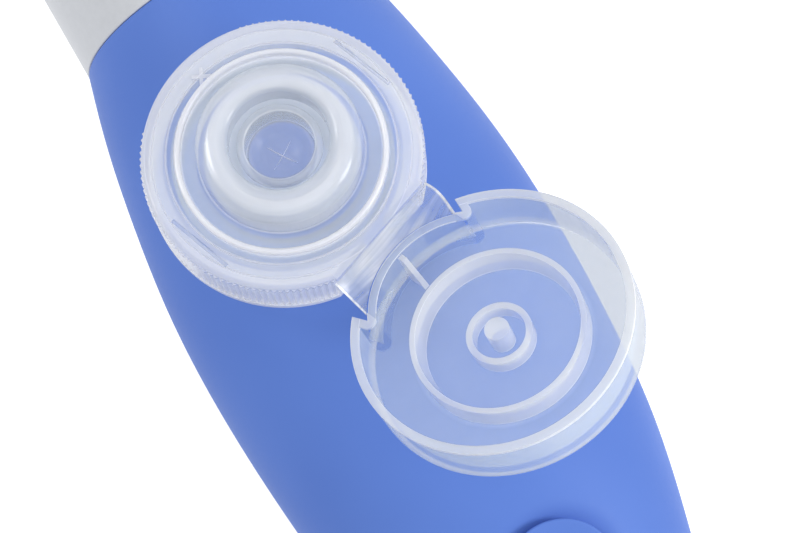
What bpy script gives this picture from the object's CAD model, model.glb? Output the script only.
import math

import bpy
import numpy as np
from mathutils import Euler, Matrix, Vector


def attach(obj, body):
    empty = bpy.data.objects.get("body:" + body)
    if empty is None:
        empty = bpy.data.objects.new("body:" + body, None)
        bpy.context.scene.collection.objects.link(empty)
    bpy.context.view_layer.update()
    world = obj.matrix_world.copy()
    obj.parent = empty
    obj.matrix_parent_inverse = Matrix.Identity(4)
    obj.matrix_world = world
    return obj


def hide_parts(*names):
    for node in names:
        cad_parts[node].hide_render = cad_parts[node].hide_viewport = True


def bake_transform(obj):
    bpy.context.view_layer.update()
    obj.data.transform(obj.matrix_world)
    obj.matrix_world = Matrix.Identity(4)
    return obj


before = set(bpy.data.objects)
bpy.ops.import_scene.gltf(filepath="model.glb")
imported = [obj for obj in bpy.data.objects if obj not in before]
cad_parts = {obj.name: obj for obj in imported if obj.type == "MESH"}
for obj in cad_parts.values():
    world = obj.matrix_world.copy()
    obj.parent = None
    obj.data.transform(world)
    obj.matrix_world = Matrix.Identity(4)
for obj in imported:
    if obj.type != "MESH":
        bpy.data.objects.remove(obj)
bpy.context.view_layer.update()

# All sizes below are in millimetres, in the frame of the solids, unless a comment says otherwise.
MM = 0.001
TINY = 1e-6

# Bottle body
BELLY_HALF_WIDTH = 25.42
BELLY_HALF_DEPTH = 20.6
BODY_LENGTH = 106.0
AXIS_HEIGHT = 20.1
COLLAR_EDGE_Y = 47.488
COLLAR_RADIUS = 18.6
SLEEVE_RADIUS = 16.53
SLEEVE_BORE = 13.62
SLEEVE_LENGTH = 12.3
SLEEVE_BEVEL = 0.4
SLEEVE_FOOT = [(0.3, 0.0), (0.05, 0.2)]
SHOULDER_DEPTH = 2.5
BODY_WALL = 2.0
BASE_ROUND = 4.0
BASE_DISH = 0.7
EDGE_ROUND = 0.35
PROFILE_SHARES = [
    (0.075, 0.816, 0.952),
    (0.190, 0.911, 0.990),
    (0.320, 0.982, 1.000),
    (0.448, 1.000, 1.000),
    (0.585, 0.975, 0.981),
    (0.717, 0.912, 0.917),
    (0.830, 0.803, 0.825),
    (0.925, 0.684, 0.712),
    (1.000, 0.571, 0.602),
]

# Rows of the body's skin: distances from the collar's edge, and the steps between rows
SKIN_STEPS = 288
COARSE_STEP = 1.0
FINE_STEP = 0.3
FINE_FROM = 76.0
FINE_TO = 100.2
LAST_FROM = 100.5
LAST_STEP = 0.5
INNER_STEP = 2.5
INNER_TO = 3.0
EDGE_PARTS = 6
BASE_PARTS = 12
SEAM = 0.02
FOOT_SHARES = (0.9, 0.75, 0.6, 0.45, 0.3, 0.15, 0.0)
DISH_FROM = 0.95
DISH_TO = 0.5
INNER_FOOT_SHARES = (0.0, 0.5, 0.85, 0.97)
INNER_FOOT_INSET = 1.0
SHOULDER_CORNER = [(0.6, 0.2), (SEAM, 0.9)]
BORE_SIDE, OUTER_SIDE, INNER_SIDE = 0, 1, 2

# Suction cup and its recess
CUP_ROW = 6
RECESS_INSIDE = 4.8
RECESS_OUTSIDE = 9.9
RECESS_DEPTH = 1.2
PAD_RADIUS = 10.6
PAD_DEPTH = 5.3
PAD_INSIDE = 0.3
PAD_OUTSIDE = 2.2
PAD_SHALLOW = 0.01
SOCKET_RADIUS = 2.32
SOCKET_DEPTH = 3.98
CUP_ROUND = 0.45
CUP_PROFILE = [
    (0, -3.88), (2.22, -3.88), (2.22, -1.14), (3.2, -1.14), (5.6, -0.45), (7.05, 0.2), (7.2, 0.5),
    (7.0, 0.72), (6.4, 0.66), (4.8, 0.36), (2.6, 0.08), (0, 0.0)]

# Cap, lid and hinge
CAP_AT = (-4.75, 19.188, 51.0084)
CAP_YAW = math.radians(-70.6)
CAP_TILT = math.radians(5.7)
HINGE_DISTANCE = 16.05
HINGE_DROP = 3.05
LID_TURN = 159.8
OPEN_REST = math.radians(180 - LID_TURN)
DECK_TOP = -0.95
LID_SEAT_GAP = 0.08
HINGE_REACH = LID_SEAT_GAP + DECK_TOP + HINGE_DROP
FACET_DISTANCE = 15.3
SLOT_FLOOR = -1.55
SLOT_DISTANCE = 14.55
SLOT_HALF_WIDTH = 0.29
SLOT_HALF_LENGTH = 4.34
POCKET_RADIUS = 11.45
POCKET_OFFSET = 4.5
POCKET_END_X = -12.0
POCKET_INNER_X = -10.9
POCKET_STEP_Y = 7.9
LID_RADIUS = 16.8
LID_WALL = 1.0
LID_FLOOR = -6.3
LID_RIM_DEPTH = -0.45
LID_RING_INNER = 9.92
LID_RING_TOP = -3.1
GUSSET_HALF_WIDTH = 0.42

# Hinge film
FILM_HALF_WIDTH = 8.1
FILM_THICKNESS = 0.3
FILM_DROP = 1.65
FILM_LID_DROP = 0.55
FILM_ARCH = 2.0
FILM_TUCK = 0.25
FILM_LEAN = 1.3
FILM_ROUNDNESS = 1.1
FILM_ROWS = 48
FILM_COLUMNS = 16

# Valve, its cross slit, and the washer
VALVE_ROUND = 0.2
VALVE_DISH = [(3.6, -1.2), (3.25, -1.55), (2.7, -1.98), (1.9, -2.34), (1.0, -2.54), (0, -2.6)]
VALVE_PROFILE = [
    (0, -3.1), (2.8, -3.1), (3.05, -2.99), (8.9, -2.99), (8.9, -2.11), (4.0, -2.11), (4.0, -1.2),
    *VALVE_DISH]
SLIT_TURN = math.radians(13)
SLIT_REACH = 2.05
SLIT_LIP = 0.06
SLIT_LIFT = 0.02
SLIT_PARTS = 14
SLIT_TIP = 0.3
SLIT_TAPER = 4
SLIT_STRENGTHS = (1.0, 0.6)
SLIT_SECTION = [(-1, -0.03), (-1, 0.0), (0, 0.05), (1, 0.0), (1, -0.03)]
WASHER_PROFILE = [
    (10.38, -2.2), (10.5, -2.11), (13.1, -2.11), (13.23, -2.2),
    (13.23, -2.8), (13.1, -2.89), (10.5, -2.89), (10.38, -2.8)]

# Meshes: steps round an axis, pieces of a small arc, and angles in degrees that stay sharp
TURN_STEPS = 160
ARC_PIECES = 5
ARC_SHARE = 0.45
SHARP_TURNED = 40
SHARP_BODY = 50
SHARP_FILM = 60
SHARP_SOLID = 30


# Frames of reference
def axes_matrix(origin, x_axis, y_axis, z_axis):
    """Matrix that takes local millimetres to millimetres in the shared frame."""
    m = Matrix.Identity(4)
    for row in range(3):
        m[row][0], m[row][1], m[row][2], m[row][3] = x_axis[row], y_axis[row], z_axis[row], origin[row]
    return m


across = Vector((math.cos(CAP_YAW), math.sin(CAP_YAW), 0))
up = Vector((0, 0, 1))
cap_x = across * math.cos(CAP_TILT) + up * math.sin(CAP_TILT)
cap_z = up * math.cos(CAP_TILT) - across * math.sin(CAP_TILT)
cap_y = cap_z.cross(cap_x)
CAP = axes_matrix(Vector(CAP_AT), cap_x, cap_y, cap_z)

lid_x = cap_x * math.cos(OPEN_REST) + cap_z * math.sin(OPEN_REST)
lid_z = cap_z * math.cos(OPEN_REST) - cap_x * math.sin(OPEN_REST)
lid_at = CAP @ Vector((
    HINGE_DISTANCE + HINGE_DISTANCE * math.cos(OPEN_REST) + HINGE_REACH * math.sin(OPEN_REST),
    0,
    HINGE_DISTANCE * math.sin(OPEN_REST) - HINGE_REACH * math.cos(OPEN_REST) - HINGE_DROP,
))
LID = axes_matrix(lid_at, lid_x, cap_y, lid_z)

before, here, after = (PROFILE_SHARES[CUP_ROW + step] for step in (-1, 0, 1))
cup_slope = math.atan2((before[2] - after[2]) * BELLY_HALF_DEPTH, (after[0] - before[0]) * BODY_LENGTH)
cup_z = Vector((0, -math.sin(cup_slope), math.cos(cup_slope)))
cup_x = Vector((1, 0, 0))
cup_at = Vector((0, COLLAR_EDGE_Y - here[0] * BODY_LENGTH, AXIS_HEIGHT + here[2] * BELLY_HALF_DEPTH))
CUP = axes_matrix(cup_at, cup_x, cup_z.cross(cup_x), cup_z)


# Mesh helpers
def mesh_object(name, points, faces, smooth_angle=SHARP_TURNED):
    """Object from points in millimetres, shaded smooth with sharp edges kept."""
    mesh = bpy.data.meshes.new(name)
    mesh.from_pydata([tuple(c * MM for c in p) for p in points], [], faces)
    mesh.validate()
    mesh.polygons.foreach_set("use_smooth", [True] * len(mesh.polygons))
    obj = bpy.data.objects.new(name, mesh)
    bpy.context.collection.objects.link(obj)
    mesh.set_sharp_from_angle(angle=math.radians(smooth_angle))
    return obj


def turned(name, matrix, profile, steps=TURN_STEPS, closed=False):
    """Surface of revolution of (radius, height) points about a frame's z axis."""
    points, faces, rows = [], [], []
    for radius, height in profile:
        if radius < TINY:
            rows.append([len(points)])
            points.append(matrix @ Vector((0, 0, height)))
            continue
        rows.append(list(range(len(points), len(points) + steps)))
        for k in range(steps):
            a = 2 * math.pi * k / steps
            points.append(matrix @ Vector((radius * math.cos(a), radius * math.sin(a), height)))
    pairs = list(zip(rows, rows[1:]))
    if closed:
        pairs.append((rows[-1], rows[0]))
    for a, b in pairs:
        for k in range(steps):
            n = (k + 1) % steps
            if len(a) == 1 and len(b) == 1:
                break
            if len(a) == 1:
                faces.append((a[0], b[n], b[k]))
            elif len(b) == 1:
                faces.append((a[k], a[n], b[0]))
            else:
                faces.append((a[k], a[n], b[n], b[k]))
    return mesh_object(name, points, faces)


def rounded(points, radius, pieces=ARC_PIECES):
    """Profile with each inner corner rounded by a small arc of up to the given radius."""
    out = [points[0]]
    for a, b, c in zip(points, points[1:], points[2:]):
        pa, pb, pc = Vector(a), Vector(b), Vector(c)
        reach = min(radius, (pa - pb).length * ARC_SHARE, (pc - pb).length * ARC_SHARE)
        start, end = pb + (pa - pb).normalized() * reach, pb + (pc - pb).normalized() * reach
        for k in range(pieces + 1):
            t = k / pieces
            p = start * (1 - t) ** 2 + pb * (2 * t * (1 - t)) + end * t ** 2
            out.append((p.x, p.y))
    out.append(points[-1])
    return out


def smoothstep(low, high, value):
    t = np.clip((value - low) / (high - low), 0, 1)
    return t * t * (3 - 2 * t)


def spline_through(x, y, at):
    """Natural cubic spline through the given values."""
    x, y, at = np.array(x, float), np.array(y, float), np.array(at, float)
    n, h = len(x), np.diff(x)
    a, b = np.zeros((n, n)), np.zeros(n)
    a[0, 0] = a[-1, -1] = 1
    for i in range(1, n - 1):
        a[i, i - 1], a[i, i], a[i, i + 1] = h[i - 1], 2 * (h[i - 1] + h[i]), h[i]
        b[i] = 3 * ((y[i + 1] - y[i]) / h[i] - (y[i] - y[i - 1]) / h[i - 1])
    c = np.linalg.solve(a, b)
    i = np.clip(np.searchsorted(x, at) - 1, 0, n - 2)
    d = at - x[i]
    slope = (y[i + 1] - y[i]) / h[i] - h[i] * (2 * c[i] + c[i + 1]) / 3
    return y[i] + slope * d + c[i] * d ** 2 + (c[i + 1] - c[i]) / (3 * h[i]) * d ** 3


# Bottle body: one closed skin, from the neck sleeve over the outside and back inside
def half_sizes(distance):
    """Half width and half depth of the outer skin at distances from the collar edge."""
    share = np.asarray(distance, float) / BODY_LENGTH
    stations = [0] + [row[0] for row in PROFILE_SHARES]
    wide = [COLLAR_RADIUS] + [row[1] * BELLY_HALF_WIDTH for row in PROFILE_SHARES]
    deep = [COLLAR_RADIUS] + [row[2] * BELLY_HALF_DEPTH for row in PROFILE_SHARES]
    return spline_through(stations, wide, share), spline_through(stations, deep, share)


def body_rings():
    """Rows of distance, half width, half depth and the side of the skin that the row is on."""
    rows = []
    for height, radius in ((SLEEVE_LENGTH, SLEEVE_BORE), (SLEEVE_LENGTH, SLEEVE_RADIUS - SLEEVE_BEVEL),
                           (SLEEVE_LENGTH - SLEEVE_BEVEL, SLEEVE_RADIUS)):
        rows.append((-height, radius, radius, BORE_SIDE))
    for height, flare in SLEEVE_FOOT:
        rows.append((-height, SLEEVE_RADIUS + flare, SLEEVE_RADIUS + flare, BORE_SIDE))
    for k in range(EDGE_PARTS + 1):
        a = math.pi / 2 * k / EDGE_PARTS
        d = EDGE_ROUND * (1 - math.cos(a))
        wide, deep = half_sizes(d)
        inset = EDGE_ROUND * (1 - math.sin(a))
        rows.append((d + SEAM, float(wide) - inset, float(deep) - inset, OUTER_SIDE))
    coarse = np.arange(COARSE_STEP, FINE_FROM, COARSE_STEP)
    fine = np.arange(FINE_FROM, FINE_TO, FINE_STEP)
    last = np.arange(LAST_FROM, BODY_LENGTH - BASE_ROUND, LAST_STEP)
    for d in np.concatenate([coarse, fine, last]):
        wide, deep = half_sizes(d)
        rows.append((float(d), float(wide), float(deep), OUTER_SIDE))
    for k in range(BASE_PARTS + 1):
        a = math.pi / 2 * k / BASE_PARTS
        d = BODY_LENGTH - BASE_ROUND + BASE_ROUND * math.sin(a)
        wide, deep = half_sizes(d)
        inset = BASE_ROUND * (1 - math.cos(a))
        rows.append((d, float(wide) - inset, float(deep) - inset, OUTER_SIDE))
    foot_wide, foot_deep = rows[-1][1], rows[-1][2]
    for share in FOOT_SHARES:
        dish = BASE_DISH * float(smoothstep(DISH_FROM, DISH_TO, share))
        rows.append((BODY_LENGTH - dish, foot_wide * share, foot_deep * share, OUTER_SIDE))
    inner_end = BODY_LENGTH - BODY_WALL - BASE_DISH
    wide, deep = (float(size) - BODY_WALL - INNER_FOOT_INSET for size in half_sizes(inner_end))
    for share in INNER_FOOT_SHARES:
        rows.append((inner_end, wide * share, deep * share, INNER_SIDE))
    lower = np.arange(inner_end - COARSE_STEP, FINE_FROM, -COARSE_STEP)
    upper = np.arange(FINE_FROM - COARSE_STEP, SHOULDER_DEPTH + INNER_TO, -INNER_STEP)
    for d in np.concatenate([lower, upper]):
        wide, deep = half_sizes(d)
        rows.append((float(d), float(wide) - BODY_WALL, float(deep) - BODY_WALL, INNER_SIDE))
    wide, deep = (float(size) - BODY_WALL for size in half_sizes(SHOULDER_DEPTH + SEAM))
    for below, inset in SHOULDER_CORNER:
        rows.append((SHOULDER_DEPTH + below, wide - inset, deep - inset, INNER_SIDE))
    rows.append((SHOULDER_DEPTH + SEAM, SLEEVE_BORE, SLEEVE_BORE, BORE_SIDE))
    return rows


def make_body():
    """The soft bottle, with the cup's recess and socket outside and the thick pad for them inside."""
    angle = 2 * np.pi * np.arange(SKIN_STEPS) / SKIN_STEPS
    cup_inverse = np.array(CUP.inverted())
    normal = np.array(cup_z)
    points, rings = [], []
    for distance, wide, deep, side in body_rings():
        y = COLLAR_EDGE_Y - distance
        if wide < TINY:
            p = np.array([[0, y, AXIS_HEIGHT]])
        else:
            p = np.stack([wide * np.cos(angle), np.full(SKIN_STEPS, y),
                          AXIS_HEIGHT + deep * np.sin(angle)], 1)
        local = p @ cup_inverse[:3, :3].T + cup_inverse[:3, 3]
        from_cup = np.hypot(local[:, 0], local[:, 1])
        upper = p[:, 2] > AXIS_HEIGHT
        if side == OUTER_SIDE:
            push = RECESS_DEPTH * (1 - smoothstep(RECESS_INSIDE, RECESS_OUTSIDE, from_cup))
            push = push + (SOCKET_DEPTH - RECESS_DEPTH) * (from_cup < SOCKET_RADIUS)
            p = p - np.where(upper, push, 0)[:, None] * normal
            # the lowest skin settles flat on what it lies on
            p[:, 2] = np.maximum(p[:, 2], 0)
        if side == INNER_SIDE:
            drop = PAD_DEPTH * (1 - smoothstep(PAD_RADIUS - PAD_INSIDE, PAD_RADIUS + PAD_OUTSIDE, from_cup))
            over = np.where(upper, np.maximum(local[:, 2] + drop, 0) * (drop > PAD_SHALLOW), 0)
            p = p - over[:, None] * normal
            p[:, 2] = np.maximum(p[:, 2], BODY_WALL)
        rings.append(list(range(len(points), len(points) + len(p))))
        points.extend(p.tolist())
    faces = []
    for a, b in zip(rings, rings[1:]):
        for k in range(SKIN_STEPS):
            n = (k + 1) % SKIN_STEPS
            if len(a) == 1 and len(b) == 1:
                break
            if len(a) == 1:
                faces.append((a[0], b[k], b[n]))
            elif len(b) == 1:
                faces.append((a[k], b[0], a[n]))
            else:
                faces.append((a[k], b[k], b[n], a[n]))
    first, final = rings[0], rings[-1]
    for k in range(SKIN_STEPS):
        n = (k + 1) % SKIN_STEPS
        faces.append((final[k], first[k], first[n], final[n]))
    return mesh_object("body_skin", points, faces, SHARP_BODY)


# Materials
class Nodes:
    """Small helper that adds nodes to one material."""

    def __init__(self, name):
        self.material = bpy.data.materials.new(name)
        self.material.use_nodes = True
        self.tree = self.material.node_tree
        self.shader = self.tree.nodes["Principled BSDF"]
        self.output = self.tree.nodes["Material Output"]

    def add(self, kind, **values):
        node = self.tree.nodes.new(kind)
        for key, value in values.items():
            setattr(node, key, value)
        return node

    def link(self, source, target):
        self.tree.links.new(source, target)

    def fill(self, node, slots):
        """Set each slot to a plain value, or link it to a socket."""
        for slot, value in slots:
            if isinstance(value, (int, float, tuple)):
                node.inputs[slot].default_value = value
            elif value is not None:
                self.link(value, node.inputs[slot])

    def math(self, operation, a, b=None, c=None, clamp=False):
        node = self.add("ShaderNodeMath", operation=operation, use_clamp=clamp)
        self.fill(node, enumerate((a, b, c)))
        return node.outputs[0]

    def product(self, *values):
        total = values[0]
        for value in values[1:]:
            total = self.math("MULTIPLY", total, value)
        return total

    def noise(self, scale, detail, rough, vector):
        node = self.add("ShaderNodeTexNoise")
        self.fill(node, (("Scale", scale), ("Detail", detail), ("Roughness", rough), ("Vector", vector)))
        return node.outputs["Fac"]

    def place(self):
        return self.add("ShaderNodeTexCoord").outputs["Object"]

    def ramp(self, fac, stops, smooth=False):
        node = self.add("ShaderNodeValToRGB")
        ramp = node.color_ramp
        if smooth:
            ramp.interpolation = "EASE"
        while len(ramp.elements) < len(stops):
            ramp.elements.new(0.5)
        for element, (at, colour) in zip(ramp.elements, stops):
            element.position = at
            element.color = colour if hasattr(colour, "__len__") else (colour, colour, colour, 1)
        self.link(fac, node.inputs[0])
        return node.outputs[0]

    def mix(self, fac, a, b):
        """Colour b over colour a by fac, through the colour sockets of a Mix node."""
        node = self.add("ShaderNodeMix", data_type="RGBA")
        self.fill(node, ((0, fac), (6, a), (7, b)))
        return node.outputs[2]

    def bump(self, height, strength, distance):
        """Fine relief; the distance is in metres."""
        node = self.add("ShaderNodeBump")
        self.fill(node, (("Strength", strength), ("Distance", distance), ("Height", height)))
        self.link(node.outputs[0], self.shader.inputs["Normal"])

    def local(self, matrix):
        """Place of a point in the given frame, in millimetres: x, y, z and the radius."""
        inverse = matrix.inverted()
        place = self.place()
        parts = []
        for row in range(3):
            dot = self.add("ShaderNodeVectorMath", operation="DOT_PRODUCT")
            dot.inputs[1].default_value = (inverse[row][0] / MM, inverse[row][1] / MM, inverse[row][2] / MM)
            self.link(place, dot.inputs[0])
            parts.append(self.math("ADD", dot.outputs["Value"], inverse[row][3]))
        x, y, z = parts
        return x, y, z, self.length(x, y)

    def length(self, x, y):
        return self.math("SQRT", self.math("ADD", self.product(x, x), self.product(y, y)))


def shader_values(nodes, **values):
    for key, value in values.items():
        nodes.shader.inputs[key.replace("_", " ")].default_value = value


# Noise: scale per metre, detail and roughness. Ramps: stops of noise and value. Relief: strength and
# distance in metres.
SILICONE_CLOUD = (45.0, 2.0, 0.5)
SILICONE_GRAIN = (1600.0, 3.0, 0.6)
SILICONE_SHADES = [(0.3, (0.102, 0.208, 0.650, 1)), (0.7, (0.112, 0.224, 0.680, 1))]
SILICONE_ROUGH = [(0.2, 0.48), (0.8, 0.58)]
SILICONE_RELIEF = (0.12, 0.00003)
SILICONE_SPECULAR = 0.24
WHITE_GRAIN = (900.0, 3.0, 0.55)
WHITE_SHADES = [(0.3, (0.62, 0.64, 0.68, 1)), (0.7, (0.65, 0.67, 0.71, 1))]
WHITE_ROUGH = [(0.2, 0.30), (0.8, 0.40)]
WHITE_RELIEF = (0.05, 0.00002)


def silicone_blue():
    """Matt silicone: deep blue with a faint cloudiness and a fine moulded grain."""
    n = Nodes("blue_silicone")
    place = n.place()
    fine = n.noise(*SILICONE_GRAIN, place)
    n.link(n.ramp(n.noise(*SILICONE_CLOUD, place), SILICONE_SHADES, True), n.shader.inputs["Base Color"])
    n.link(n.ramp(fine, SILICONE_ROUGH), n.shader.inputs["Roughness"])
    n.bump(fine, *SILICONE_RELIEF)
    shader_values(n, Specular_IOR_Level=SILICONE_SPECULAR)
    return n.material


def plastic_white():
    """Glossy white moulded plastic with a slight grain."""
    n = Nodes("white_plastic")
    fine = n.noise(*WHITE_GRAIN, n.place())
    n.link(n.ramp(fine, WHITE_SHADES), n.shader.inputs["Base Color"])
    n.link(n.ramp(fine, WHITE_ROUGH), n.shader.inputs["Roughness"])
    n.bump(fine, *WHITE_RELIEF)
    return n.material


# See-through plastics: grain and cloud as above, scattering reach in metres
HAZE_GRAIN = (700.0, 3.0, 0.55)
HAZE_CLOUD = (160.0, 3.0, 0.5)
HAZE_CLOUD_RAMP = [(0.3, 0.93), (0.7, 1.0)]
HAZE_RELIEF_DEPTH = 0.00002
HAZE_GRAIN_LOW, HAZE_GRAIN_HIGH = 0.2, 0.8
THIN_UP_TO = 0.3
THICK_FROM = 0.62
PLASTIC_IOR = 1.45
SCATTER_SHARE = 0.6
SCATTER_REACH = 0.0022
LIGHT_PASSES = 0.85


def hazed(name, shade, thin, thick=None, matrix=CAP, rough=(0.22, 0.32), grain=0.05, gloss=0.6):
    """See-through moulded plastic. The shade is how much each surface covers what is behind it: a number,
    or a function of the helper and the place in the given frame, and then the colour goes from thin to
    thick as the cover rises. Light passes more easily than the eye does."""
    n = Nodes(name)
    place = n.place()
    fine = n.noise(*HAZE_GRAIN, place)
    rough_ramp = [(HAZE_GRAIN_LOW, rough[0]), (HAZE_GRAIN_HIGH, rough[1])]
    n.link(n.ramp(fine, rough_ramp), n.shader.inputs["Roughness"])
    shader_values(n, IOR=PLASTIC_IOR, Specular_IOR_Level=gloss, Subsurface_Weight=SCATTER_SHARE,
                  Subsurface_Scale=SCATTER_REACH, Subsurface_Radius=(1.0, 1.0, 1.0))
    n.bump(fine, grain, HAZE_RELIEF_DEPTH)
    if callable(shade):
        cover = shade(n, *n.local(matrix))
        n.link(n.ramp(cover, [(THIN_UP_TO, thin), (THICK_FROM, thick)]), n.shader.inputs["Base Color"])
    else:
        cover = shade
        shader_values(n, Base_Color=thin)
    cover = n.product(cover, n.ramp(n.noise(*HAZE_CLOUD, place), HAZE_CLOUD_RAMP))
    path = n.add("ShaderNodeLightPath")
    lamps = n.math("MAXIMUM", path.outputs["Is Shadow Ray"], path.outputs["Is Diffuse Ray"])
    let_by = n.math("SUBTRACT", 1.0, n.product(lamps, LIGHT_PASSES))
    n.link(n.math("MULTIPLY", cover, let_by, clamp=True), n.shader.inputs["Alpha"])
    return n.material


# Cover of the see-through pieces. Tables hold stops and the cover there: stops of radius in millimetres,
# stops of depth in centimetres, and for the film stops of its noise and of its share of FILM_REACH.
RADIUS_REACH = 18.0
TO_DEPTH = -0.1
CAP_TOP_COVER = [
    (0.0, 0.14), (4.07, 0.14), (4.2, 0.50), (4.4, 0.30), (5.1, 0.30), (5.3, 0.28), (6.0, 0.32),
    (6.4, 0.44), (7.2, 0.52), (8.5, 0.50), (8.9, 0.42), (9.8, 0.42), (9.95, 0.62), (10.15, 0.30),
    (11.75, 0.30), (11.95, 0.50), (12.15, 0.88), (12.55, 0.88), (12.8, 0.30), (13.55, 0.30),
    (13.75, 0.80), (13.95, 0.50), (15.3, 0.50), (15.38, 0.70), (15.5, 0.56), (16.9, 0.60)]
CAP_BELOW_COVER = [
    (0.0, 0.24), (10.5, 0.24), (13.0, 0.22), (14.5, 0.26), (16.0, 0.42), (16.6, 0.78), (17.0, 0.92)]
CAP_BELOW_FROM = [(0.20, 0.0), (0.24, 1.0)]
MARK_ABOVE = [(0.086, 1.0), (0.092, 0.0)]
MARK_OUTSIDE = [(0.0, 0.0), (12.62, 0.0), (12.66, 1.0), (15.0, 1.0)]
MARK_COVER = 0.62
SLOT_CLEARER = 0.55
SLOT_ABOVE = 0.04
SLOT_BELOW = 0.05
LID_WALL_COVER = [
    (0.0, 0.58), (0.015, 0.52), (0.04, 0.35), (0.50, 0.33), (0.60, 0.34), (0.66, 0.34), (0.70, 0.50),
    (0.73, 0.66)]
LID_RING_COVER = [
    (0.15, 0.85), (0.20, 0.66), (0.30, 0.60), (0.33, 0.62), (0.60, 0.60), (0.625, 0.80), (0.635, 0.17),
    (0.73, 0.17)]
LID_PLATE_COVER = [(0.0, 0.09), (9.2, 0.10), (9.7, 0.175), (18.0, 0.175)]
LID_RINGS_INSIDE = [(0.0, 1.0), (10.8, 1.0), (11.2, 0.0), (18.0, 0.0)]
LID_WALL_OUTSIDE = [(0.0, 0.0), (15.95, 0.0), (16.15, 1.0), (18.0, 1.0)]
LID_PLATE_BELOW = [(0.0, 0.0), (0.628, 0.0), (0.632, 1.0), (1.0, 1.0)]
POCKET_CLEARER = 0.45
POCKET_STEP_CLEARER = 0.9
POCKET_GAP = 0.05
POCKET_TOP = -0.5
POCKET_FOOT = 0.15
EDGE_COVER = 0.9
EDGE_REACH = 0.14
RING_EDGE_REACH = 0.16
RING_EDGE_HEIGHT = 0.25
GUSSET_COVER = 0.72
GUSSET_GAP = 0.03
GUSSET_FOOT = 0.02
VALVE_COVER = [(0.0, 0.24), (3.5, 0.24), (3.8, 0.26), (4.1, 0.26), (5.0, 0.24), (9.0, 0.24)]
STREAK_NOISE = (1.3, 2.0, 0.5)
STREAK_SHARE = 0.05
STREAK_COVER = [(0.35, 0.26), (0.55, 0.44), (0.66, 0.66)]
FILM_REACH = 9.0
FILM_SIDE = [(0.0, 1.5), (0.35, 1.2), (0.7, 0.45), (0.865, 0.45), (0.88, 2.2)]
RETAINER_COVER = 0.22
WASHER_COVER = 0.10
SLIT_COVER = 0.98


def by_radius(n, radius, stops):
    """Value that follows a list of (radius in millimetres, value) stops."""
    return n.ramp(n.math("DIVIDE", radius, RADIUS_REACH), [(r / RADIUS_REACH, v) for r, v in stops])


def near(n, value, at, reach=EDGE_REACH):
    """1 where a value in millimetres is at a place, falling to 0 within the reach."""
    gap = n.math("ABSOLUTE", n.math("SUBTRACT", value, at))
    return n.math("SUBTRACT", 1.0, n.math("DIVIDE", gap, reach), clamp=True)


def within(n, value, half_width):
    """1 where a value lies within a half width of nought."""
    return n.math("LESS_THAN", n.math("ABSOLUTE", value), half_width)


def cap_cover(n, x, y, z, radius):
    """The cap: milky boss, bead and outer ring, clearer deck between them, walls below."""
    top = by_radius(n, radius, CAP_TOP_COVER)
    below = by_radius(n, radius, CAP_BELOW_COVER)
    depth = n.math("MULTIPLY_ADD", z, TO_DEPTH, 0.0)
    low = n.ramp(depth, CAP_BELOW_FROM)
    mark = n.product(n.ramp(depth, MARK_ABOVE), by_radius(n, radius, MARK_OUTSIDE))
    # the two blind slots are clearer than the milky ring round them
    beside = n.math("SUBTRACT", n.math("ABSOLUTE", y), SLOT_DISTANCE)
    slot = n.product(within(n, beside, SLOT_HALF_WIDTH), within(n, x, SLOT_HALF_LENGTH),
                     n.math("LESS_THAN", z, DECK_TOP - SLOT_ABOVE),
                     n.math("GREATER_THAN", z, SLOT_FLOOR - SLOT_BELOW))
    milk = n.product(n.mix(low, top, below), n.math("MULTIPLY_ADD", slot, -SLOT_CLEARER, 1.0))
    return n.math("MAXIMUM", milk, n.product(mark, MARK_COVER))


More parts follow.
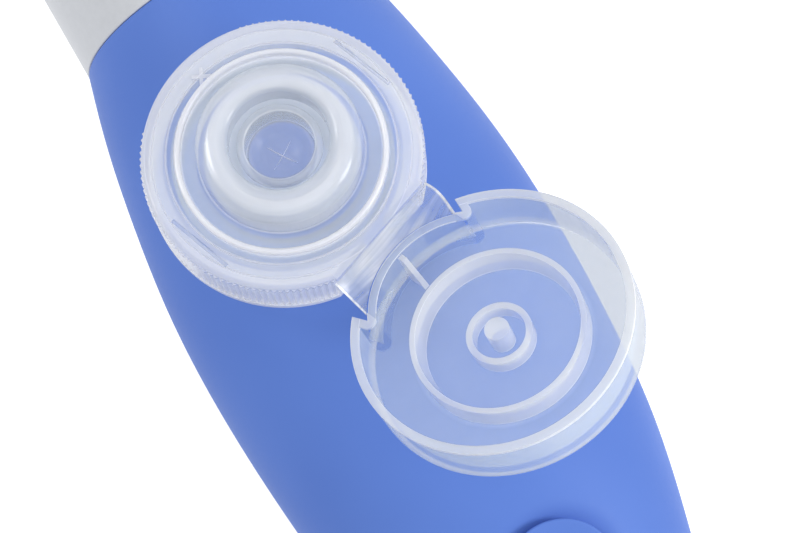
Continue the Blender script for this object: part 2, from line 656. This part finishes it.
def lid_cover(n, x, y, z, radius):
    """The lid: clear plate, whiter walls and rings, bright edges on their rims, and a bright gusset."""
    depth = n.math("MULTIPLY_ADD", z, TO_DEPTH, 0.0)
    # the pocket's own wall is clearer, from under its rim down to the plate, most of all at its corners
    clearer = n.product(n.math("LESS_THAN", x, POCKET_INNER_X),
                        n.math("LESS_THAN", radius, LID_RADIUS - LID_WALL - POCKET_GAP),
                        n.math("LESS_THAN", z, POCKET_TOP),
                        n.math("GREATER_THAN", z, LID_FLOOR + POCKET_FOOT))
    corner = n.product(clearer, n.math("GREATER_THAN", n.math("ABSOLUTE", y), POCKET_STEP_Y))
    clearer = n.math("MULTIPLY_ADD", corner, POCKET_STEP_CLEARER, clearer)
    wall = n.product(n.ramp(depth, LID_WALL_COVER), n.math("MULTIPLY_ADD", clearer, -POCKET_CLEARER, 1.0))
    rings = n.ramp(depth, LID_RING_COVER)
    inner = by_radius(n, radius, LID_RINGS_INSIDE)
    outer = by_radius(n, radius, LID_WALL_OUTSIDE)
    clear = n.product(n.ramp(depth, LID_PLATE_BELOW), n.math("SUBTRACT", 1.0, outer))
    cover = n.mix(clear, n.mix(inner, wall, rings), by_radius(n, radius, LID_PLATE_COVER))
    # edges of the rims
    pocket = n.length(n.math("ADD", x, POCKET_OFFSET), y)
    edge = n.math("MAXIMUM", near(n, radius, LID_RADIUS), near(n, radius, LID_RADIUS - LID_WALL))
    bend = n.math("MAXIMUM", near(n, pocket, POCKET_RADIUS), near(n, pocket, POCKET_RADIUS - LID_WALL))
    bend = n.product(bend, n.math("LESS_THAN", x, POCKET_END_X))
    top = n.product(n.math("GREATER_THAN", z, LID_RIM_DEPTH), EDGE_COVER)
    edge = n.product(n.math("MAXIMUM", edge, bend), top)
    ring_edge = n.product(near(n, radius, LID_RING_INNER, RING_EDGE_REACH),
                          near(n, z, LID_RING_TOP, RING_EDGE_HEIGHT), EDGE_COVER)
    gusset = n.product(within(n, y, GUSSET_HALF_WIDTH), n.math("LESS_THAN", x, POCKET_END_X),
                       n.math("LESS_THAN", pocket, POCKET_RADIUS - LID_WALL - GUSSET_GAP),
                       n.math("GREATER_THAN", z, LID_FLOOR + GUSSET_FOOT), GUSSET_COVER)
    return n.math("MAXIMUM", cover, n.math("MAXIMUM", n.math("MAXIMUM", edge, ring_edge), gusset))


def valve_cover(n, x, y, z, radius):
    """The valve: clear, a little whiter at the rim of its dish."""
    return by_radius(n, radius, VALVE_COVER)


def film_cover(n, x, y, z, radius):
    """The hinge film: clear, with faint streaks along the fold, a haze in its middle and bright edges."""
    streak = n.add("ShaderNodeCombineXYZ")
    n.link(x, streak.inputs[0])
    n.link(n.product(y, STREAK_SHARE), streak.inputs[1])
    lines = n.ramp(n.noise(*STREAK_NOISE, streak.outputs[0]), STREAK_COVER)
    side = n.ramp(n.math("ABSOLUTE", n.math("DIVIDE", y, FILM_REACH)), FILM_SIDE)
    return n.product(lines, side)


blue = silicone_blue()
white = plastic_white()
frosted = hazed("frosted_cap", cap_cover, thin=(0.74, 0.82, 1.0, 1), thick=(0.85, 0.87, 0.98, 1),
                rough=(0.13, 0.22), gloss=0.9)
frosted_ring = hazed("frosted_ring", RETAINER_COVER, thin=(0.68, 0.77, 0.98, 1))
clear_lid = hazed("clear_lid", lid_cover, thin=(0.73, 0.83, 0.97, 1), thick=(0.84, 0.87, 0.93, 1),
                  matrix=LID, rough=(0.12, 0.20), gloss=0.9)
clear_film = hazed("clear_film", film_cover, thin=(0.78, 0.85, 0.97, 1), thick=(0.88, 0.91, 0.96, 1),
                   rough=(0.12, 0.20), grain=0.03, gloss=0.7)
clear_valve = hazed("clear_valve", valve_cover, thin=(0.70, 0.77, 0.96, 1), thick=(0.80, 0.85, 0.96, 1),
                    rough=(0.16, 0.24))
clear_washer = hazed("clear_washer", WASHER_COVER, thin=(0.66, 0.76, 0.98, 1), rough=(0.30, 0.40))
slit_white = hazed("slit_white", SLIT_COVER, thin=(0.93, 0.95, 1.0, 1), rough=(0.20, 0.30))


def finish_with(obj, material):
    obj.data.materials.clear()
    obj.data.materials.append(material)


def dress(node, material):
    """Give a solid of the frame its material and smooth shading."""
    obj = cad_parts[node]
    obj.data.materials.clear()
    obj.data.materials.append(material)
    obj.data.polygons.foreach_set("use_smooth", [True] * len(obj.data.polygons))
    obj.data.set_sharp_from_angle(angle=math.radians(SHARP_SOLID))


# Pieces
body = make_body()
finish_with(body, blue)
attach(body, "bottle")
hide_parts("bottle_body")

cup = turned("suction_disc", CUP, rounded(CUP_PROFILE, CUP_ROUND))
finish_with(cup, blue)
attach(cup, "cup")
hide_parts("suction_cup")

valve = turned("valve_disc", CAP, rounded(VALVE_PROFILE, VALVE_ROUND))
finish_with(valve, clear_valve)
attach(valve, "cap")
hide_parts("valve")


def make_slits():
    """The two thin lips of the cross slit, lying on the valve's dish."""
    radii = [row[0] for row in VALVE_DISH][::-1]
    heights = [row[1] for row in VALVE_DISH][::-1]
    count, corners = SLIT_PARTS, len(SLIT_SECTION)
    points, faces = [], []
    for turn, strength in zip((SLIT_TURN, SLIT_TURN + math.pi / 2), SLIT_STRENGTHS):
        along = Vector((math.cos(turn), math.sin(turn), 0))
        side = Vector((-along.y, along.x, 0))
        first = len(points)
        for k in range(count + 1):
            s = SLIT_REACH * (2 * k / count - 1)
            taper = 1 - abs(2 * k / count - 1) ** SLIT_TAPER
            height = float(np.interp(abs(s), radii, heights)) + SLIT_LIFT
            lip = strength * SLIT_LIP * (SLIT_TIP + (1 - SLIT_TIP) * taper)
            for across_by, rise in SLIT_SECTION:
                p = along * s + side * (across_by * lip)
                points.append(CAP @ Vector((p.x, p.y, height + rise * taper)))
        for k in range(count):
            a, b = first + corners * k, first + corners * (k + 1)
            for j in range(corners):
                m = (j + 1) % corners
                faces.append((a + j, a + m, b + m, b + j))
        faces.append(tuple(first + j for j in range(corners)))
        faces.append(tuple(first + corners * count + j for j in range(corners))[::-1])
    return mesh_object("valve_slit", points, faces)


slits = make_slits()
finish_with(slits, slit_white)
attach(slits, "cap")

gasket = turned("neck_washer", CAP, WASHER_PROFILE, closed=True)
finish_with(gasket, clear_washer)
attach(gasket, "cap")
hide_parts("cap_gasket")


def make_film():
    """Thin hinge film: straight at the cap, curved at the lid, arched up towards one end."""
    wide, long = FILM_ROWS, FILM_COLUMNS
    points, faces = [], []
    for side in (0, 1):
        for i in range(wide + 1):
            u = -1 + 2 * i / wide
            y = u * FILM_HALF_WIDTH
            start = CAP @ Vector((FACET_DISTANCE, y, -FILM_DROP))
            reach = POCKET_RADIUS + FILM_TUCK
            end = LID @ Vector((-POCKET_OFFSET - math.sqrt(reach ** 2 - y * y), y, -FILM_LID_DROP))
            weight = float(smoothstep(-1.0, 1.0, u)) ** FILM_LEAN
            for j in range(long + 1):
                v = j / long
                p = start.lerp(end, v)
                p = p + cap_z * (FILM_ARCH * weight * math.sin(math.pi * v) ** FILM_ROUNDNESS)
                p = p + cap_z * (FILM_THICKNESS * (side - 0.5))
                points.append(p)
    stride, layer = long + 1, (wide + 1) * (long + 1)
    for i in range(wide):
        for j in range(long):
            a, d = i * stride + j, (i + 1) * stride + j
            face = (a, d, d + 1, a + 1)
            faces.append(face[::-1])
            faces.append(tuple(layer + k for k in face))
    for i in range(wide):
        a, b = i * stride, (i + 1) * stride
        faces.append((a, b, layer + b, layer + a))
        a, b = a + long, b + long
        faces.append((b, a, layer + a, layer + b))
    for j in range(long):
        a, b = j, j + 1
        faces.append((b, a, layer + a, layer + b))
        a, b = wide * stride + j, wide * stride + j + 1
        faces.append((a, b, layer + b, layer + a))
    return mesh_object("hinge_film", points, faces, SHARP_FILM)


film = make_film()
finish_with(film, clear_film)
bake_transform(film)
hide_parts("hinge_strap")

dress("collar", white)
dress("neck_insert", white)
dress("cap_base", frosted)
dress("valve_retainer", frosted_ring)
dress("lid", clear_lid)

# Camera at the photograph's view, its turn in degrees and its clipping in metres
CAMERA_AT = (-31.014, -34.264, 279.05)
CAMERA_TURN = (11.2649, -2.4550, -30.2456)
CAMERA_LENS = 90.0
CAMERA_SENSOR = 36.0
CAMERA_NEAR = 0.01
CAMERA_FAR = 20.0
camera_data = bpy.data.cameras.new("camera")
camera_data.lens = CAMERA_LENS
camera_data.sensor_width = CAMERA_SENSOR
camera_data.sensor_fit = "HORIZONTAL"
camera_data.clip_start = CAMERA_NEAR
camera_data.clip_end = CAMERA_FAR
camera = bpy.data.objects.new("camera", camera_data)
camera.location = Vector(CAMERA_AT) * MM
camera.rotation_euler = Euler([math.radians(a) for a in CAMERA_TURN], "XYZ")
bpy.context.collection.objects.link(camera)
bpy.context.scene.camera = camera

# Floor, world and lamps, with places and sizes in metres, and each lamp's size and power last
FLOOR_HALF = 3.0
FLOOR_GAP = 0.0002
FLOOR_COLOUR = (0.58, 0.59, 0.61, 1)
FLOOR_ROUGH = 0.9
FLOOR_GLOW = 0.22
FLOOR_GLOW_BARE = 0.61
NONE_PASSED = 0.5
WORLD_LIGHT = 0.69
LAMP_AIM = (0, 0, 0.02)
LAMPS = [("key", (0.58, -0.46, 0.52), 0.35, 3.3), ("fill", (-0.45, 0.55, 0.75), 0.30, 2.0)]


def stage_floor():
    """Pale floor that shows white where nothing lies over it, and keeps the object's shadow."""
    half = FLOOR_HALF
    corners = [(-half, -half, 0), (half, -half, 0), (half, half, 0), (-half, half, 0)]
    mesh = bpy.data.meshes.new("floor")
    mesh.from_pydata(corners, [], [(0, 1, 2, 3)])
    floor = bpy.data.objects.new("floor", mesh)
    floor.location = (0, 0, -FLOOR_GAP)
    bpy.context.collection.objects.link(floor)
    n = Nodes("floor")
    shader_values(n, Base_Color=FLOOR_COLOUR, Roughness=FLOOR_ROUGH)
    path = n.add("ShaderNodeLightPath")
    seen = n.math("MAXIMUM", path.outputs["Is Camera Ray"], path.outputs["Is Glossy Ray"])
    seen = n.math("MAXIMUM", seen, path.outputs["Is Transmission Ray"])
    # behind the see-through plastic the floor glows less
    bare = n.math("LESS_THAN", path.outputs["Transparent Depth"], NONE_PASSED)
    strength = n.math("MULTIPLY_ADD", bare, FLOOR_GLOW_BARE, FLOOR_GLOW)
    glow = n.add("ShaderNodeEmission")
    glow.inputs["Color"].default_value = (1, 1, 1, 1)
    n.link(n.product(seen, strength), glow.inputs["Strength"])
    total = n.add("ShaderNodeAddShader")
    n.link(n.shader.outputs[0], total.inputs[0])
    n.link(glow.outputs[0], total.inputs[1])
    n.link(total.outputs[0], n.output.inputs["Surface"])
    mesh.materials.append(n.material)


def light_world():
    """White to the camera and in reflections, and a plain level of light on the object."""
    world = bpy.data.worlds.new("studio")
    scene.world = world
    world.use_nodes = True
    tree = world.node_tree
    background = tree.nodes["Background"]
    background.inputs["Color"].default_value = (1, 1, 1, 1)
    path = tree.nodes.new("ShaderNodeLightPath")
    seen = tree.nodes.new("ShaderNodeMath")
    seen.operation = "MAXIMUM"
    tree.links.new(path.outputs["Is Camera Ray"], seen.inputs[0])
    tree.links.new(path.outputs["Is Glossy Ray"], seen.inputs[1])
    strength = tree.nodes.new("ShaderNodeMapRange")
    strength.inputs["To Min"].default_value = WORLD_LIGHT
    strength.inputs["To Max"].default_value = 1.0
    tree.links.new(seen.outputs[0], strength.inputs["Value"])
    tree.links.new(strength.outputs[0], background.inputs["Strength"])


def lamp(name, at, size, power):
    data = bpy.data.lights.new(name, "AREA")
    data.shape = "DISK"
    data.size = size
    data.energy = power
    obj = bpy.data.objects.new(name, data)
    obj.location = at
    obj.rotation_euler = (Vector(LAMP_AIM) - Vector(at)).to_track_quat("-Z", "Y").to_euler()
    bpy.context.collection.objects.link(obj)


scene = bpy.context.scene
stage_floor()
light_world()
for settings in LAMPS:
    lamp(*settings)

scene.view_settings.view_transform = "Standard"
